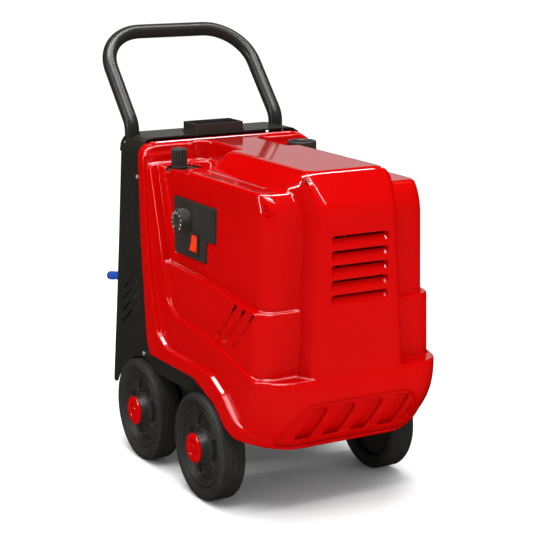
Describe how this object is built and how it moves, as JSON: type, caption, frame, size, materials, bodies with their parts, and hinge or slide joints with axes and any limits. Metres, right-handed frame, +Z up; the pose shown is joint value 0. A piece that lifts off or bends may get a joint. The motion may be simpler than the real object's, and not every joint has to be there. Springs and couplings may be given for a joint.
{
  "type": "steam cleaner",
  "caption": "Wheeled hot-water steam pressure cleaner with a moulded cover, bent-tube push handle, dial and switch, fuel cap and steel underframe.",
  "frame": {"origin": "centre of the machine's footprint at floor level, under the middle of its overall box", "axes": "+Z up, -Y is the louvred front, +Y is the handle end, X runs across, with the control plate on the -X side"},
  "size_m": [0.4318, 0.7504, 0.8262],
  "materials": {
    "red": "glossy moulded plastic",
    "black_plastic": "satin moulded plastic",
    "black_paint": "semi-gloss powder coat",
    "rubber": "matt ribbed rubber",
    "seal": "matt rubber",
    "steel": "bright zinc plated",
    "dark_steel": "heat-proof grey paint",
    "brass": "machined brass",
    "blue": "glossy plastic",
    "lens": "translucent lit lens",
    "tank": "blow-moulded natural plastic",
    "motor_paint": "hammer-grey paint"
  },
  "bodies": {
    "base": {"chassis": "black_paint", "axle_front": "steel", "axle_rear": "steel", "hood": "red", "side_panel_right": "black_paint", "side_panel_left": "black_paint", "top_plate": "black_paint", "rear_panel": "black_paint", "tool_tray": "black_plastic", "handle": "black_paint", "hood_screw_upper_left": "steel", "hood_screw_lower_left": "steel", "hood_screw_upper_right": "steel", "hood_screw_lower_right": "steel", "control_plate": "black_plastic", "thermostat": "steel", "rocker_bezel": "black_plastic", "knob_plate": "black_plastic", "metering_valve": "brass", "filler_neck": "black_plastic", "fuel_tank": "tank", "boiler_drum": "dark_steel", "heating_coil": "steel", "motor": "motor_paint", "pump": "brass", "burner_blower": "black_paint", "float_tank": "tank", "water_inlet": "blue", "pressure_outlet": "brass", "cable_gland": "black_plastic", "suction_hose": "seal", "pressure_hose": "seal", "axle_clip_front_left": "steel", "axle_clip_front_right": "steel", "axle_clip_rear_left": "steel", "axle_clip_rear_right": "steel"},
    "wheel_front_left": {"tyre_front_left": "rubber", "hub_front_left": "black_plastic", "hub_cap_front_left": "red"},
    "wheel_front_right": {"tyre_front_right": "rubber", "hub_front_right": "black_plastic", "hub_cap_front_right": "red"},
    "wheel_rear_left": {"tyre_rear_left": "rubber", "hub_rear_left": "black_plastic", "hub_cap_rear_left": "red"},
    "wheel_rear_right": {"tyre_rear_right": "rubber", "hub_rear_right": "black_plastic", "hub_cap_rear_right": "red"},
    "dial": {"thermostat_dial": "black_plastic"},
    "rocker": {"rocker_switch": "lens"},
    "knob": {"metering_knob": "black_plastic"},
    "cap_lift": {"fuel_cap_seal": "seal"},
    "cap": {"fuel_cap": "black_plastic"},
    "fan": {"motor_fan": "black_plastic"}
  },
  "joints": [
    {"name": "wheel_front_left_spin", "type": "hinge", "parent": "base", "child": "wheel_front_left", "pos_m": [-0.181, -0.148, 0.1], "axis": [1, 0, 0], "continuous": true},
    {"name": "wheel_front_right_spin", "type": "hinge", "parent": "base", "child": "wheel_front_right", "pos_m": [0.181, -0.148, 0.1], "axis": [1, 0, 0], "continuous": true},
    {"name": "wheel_rear_left_spin", "type": "hinge", "parent": "base", "child": "wheel_rear_left", "pos_m": [-0.181, 0.108, 0.1], "axis": [1, 0, 0], "continuous": true},
    {"name": "wheel_rear_right_spin", "type": "hinge", "parent": "base", "child": "wheel_rear_right", "pos_m": [0.181, 0.108, 0.1], "axis": [1, 0, 0], "continuous": true},
    {"name": "thermostat_turn", "type": "hinge", "parent": "base", "child": "dial", "pos_m": [-0.168, -0.036, 0.499], "axis": [-1, 0, 0], "range_deg": [0, 270]},
    {"name": "rocker_tip", "type": "hinge", "parent": "base", "child": "rocker", "pos_m": [-0.1676, -0.074, 0.462], "axis": [0, -1, 0], "range_deg": [0, 20]},
    {"name": "metering_turn", "type": "hinge", "parent": "base", "child": "knob", "pos_m": [-0.13, 0.065, 0.579], "axis": [0, 0, -1], "range_deg": [0, 300]},
    {"name": "cap_off", "type": "slide", "parent": "base", "child": "cap_lift", "axis": [0, 0, 1], "range_m": [0, 0.045]},
    {"name": "cap_turn", "type": "hinge", "parent": "cap_lift", "child": "cap", "pos_m": [0.128, 0.047, 0.6], "axis": [0, 0, 1], "range_deg": [0, 90]},
    {"name": "fan_spin", "type": "hinge", "parent": "base", "child": "fan", "pos_m": [-0.03, -0.21, 0.238], "axis": [0, 1, 0], "continuous": true}
  ]
}
